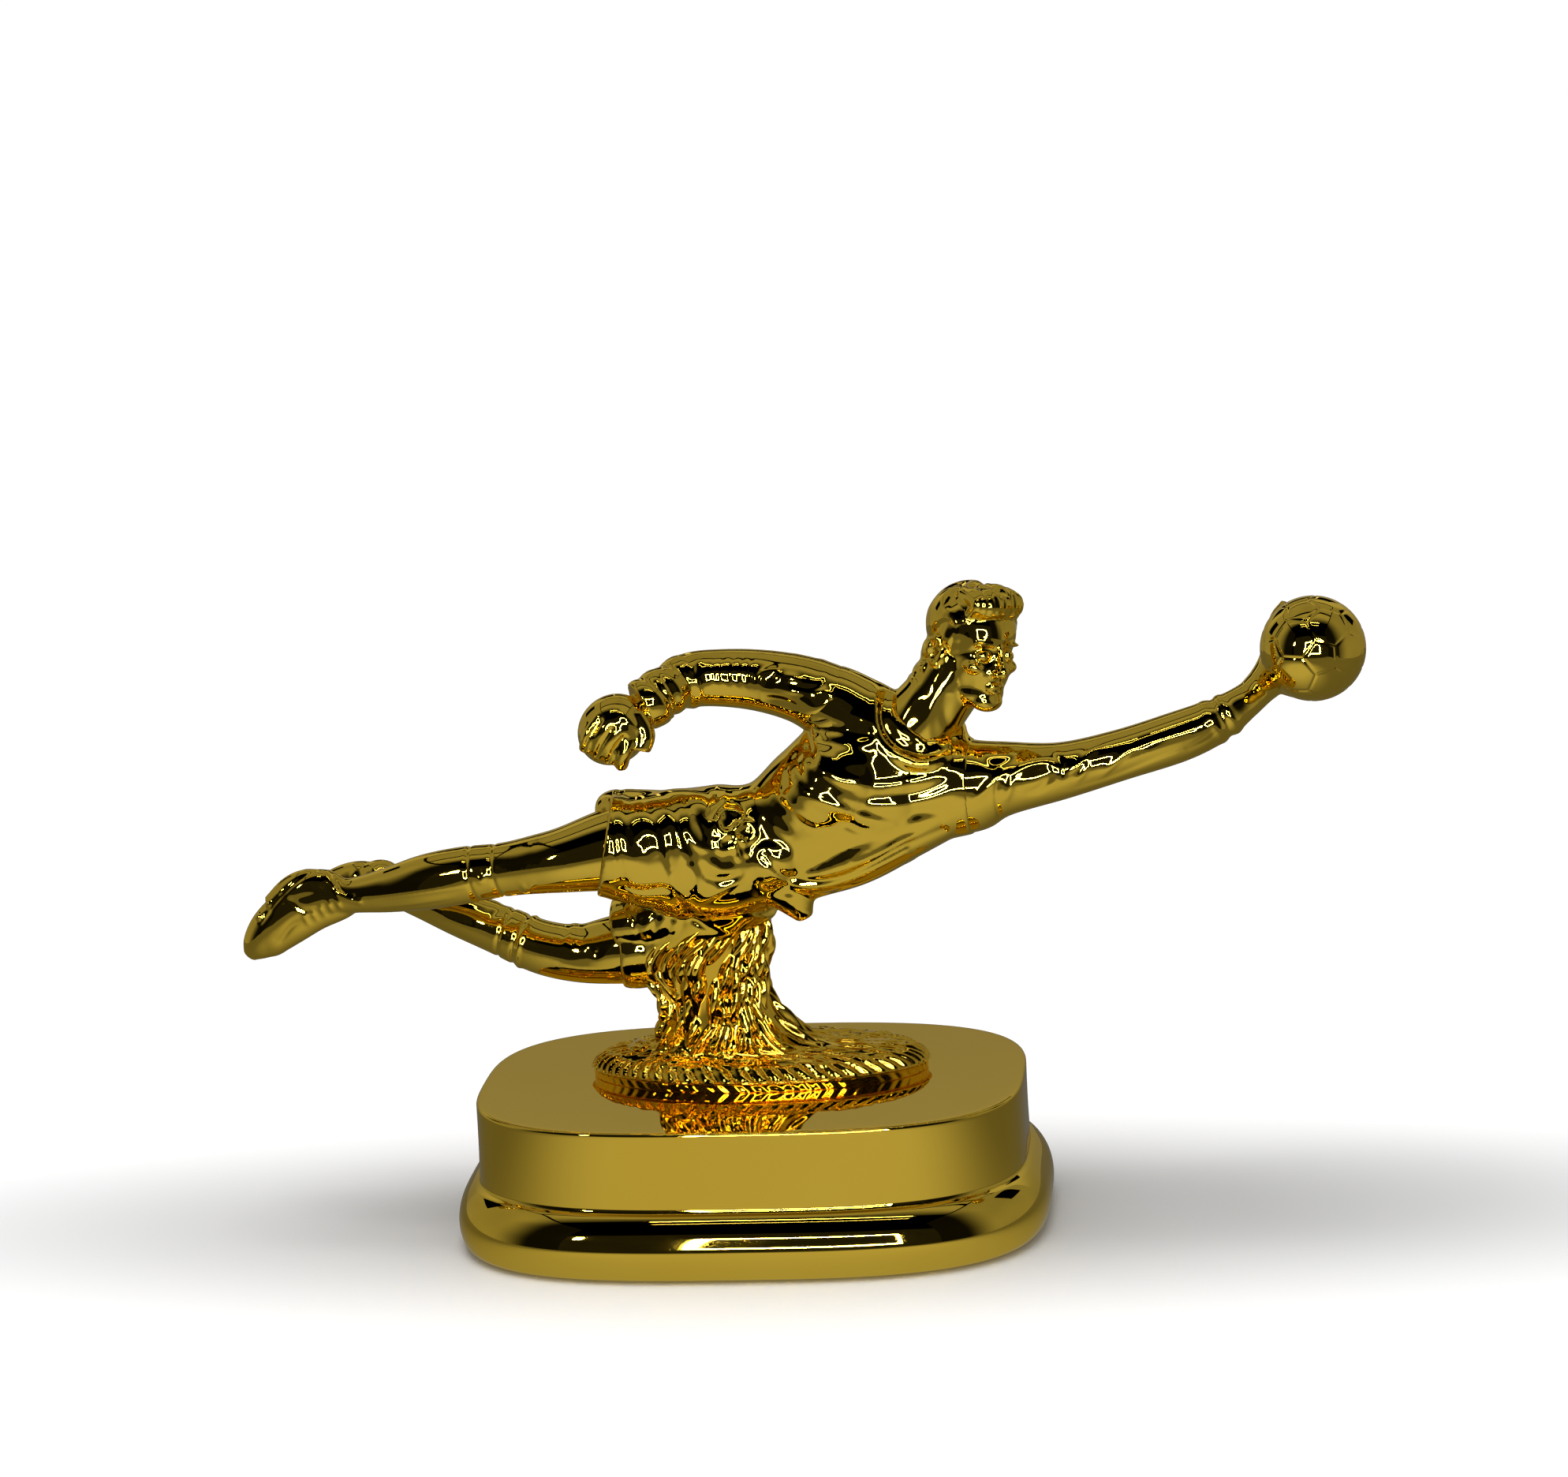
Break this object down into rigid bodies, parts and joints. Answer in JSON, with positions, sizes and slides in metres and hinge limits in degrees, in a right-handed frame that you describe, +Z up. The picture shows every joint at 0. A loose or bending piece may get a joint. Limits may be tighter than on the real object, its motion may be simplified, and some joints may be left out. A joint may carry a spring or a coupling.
{
  "type": "figure trophy",
  "caption": "Gold-plated figure of a diving goalkeeper reaching for a football, on a grass mound and a squarish-oval plinth with a flared foot.",
  "frame": {"origin": "middle of the underside of the felt pad, on the table", "axes": "+X along the plinth towards the outstretched hand, +Y to the back, +Z up"},
  "size_m": [0.2478, 0.0982, 0.1408],
  "materials": {
    "plated_plinth": "mirror gold electroplate over a moulded shell",
    "plated_figure": "mirror gold electroplate over cast resin",
    "plated_grass": "mirror gold electroplate over rough cast grass",
    "zinc_steel": "zinc-plated steel",
    "ballast": "cast filler",
    "fibre_plate": "hard fibreboard",
    "felt": "dark felt"
  },
  "bodies": {
    "root": {"plinth_shell": "plated_plinth", "closing_plate": "fibre_plate", "plate_screws": "zinc_steel", "felt_pad": "felt", "ballast_block": "ballast", "centre_rod": "zinc_steel", "deck_washer": "zinc_steel", "lock_washer": "zinc_steel", "rod_nut": "zinc_steel", "locating_pins": "zinc_steel", "reaching_arm_wire": "zinc_steel", "bent_arm_wire": "zinc_steel", "straight_leg_wire": "zinc_steel", "folded_leg_wire": "zinc_steel", "neck_dowel": "zinc_steel", "ball_dowel": "zinc_steel", "body_casting": "plated_figure", "head_casting": "plated_figure", "reaching_arm_casting": "plated_figure", "bent_arm_casting": "plated_figure", "straight_leg_casting": "plated_figure", "folded_leg_casting": "plated_figure", "ball_casting": "plated_figure", "mound_casting": "plated_grass"}
  },
  "joints": []
}
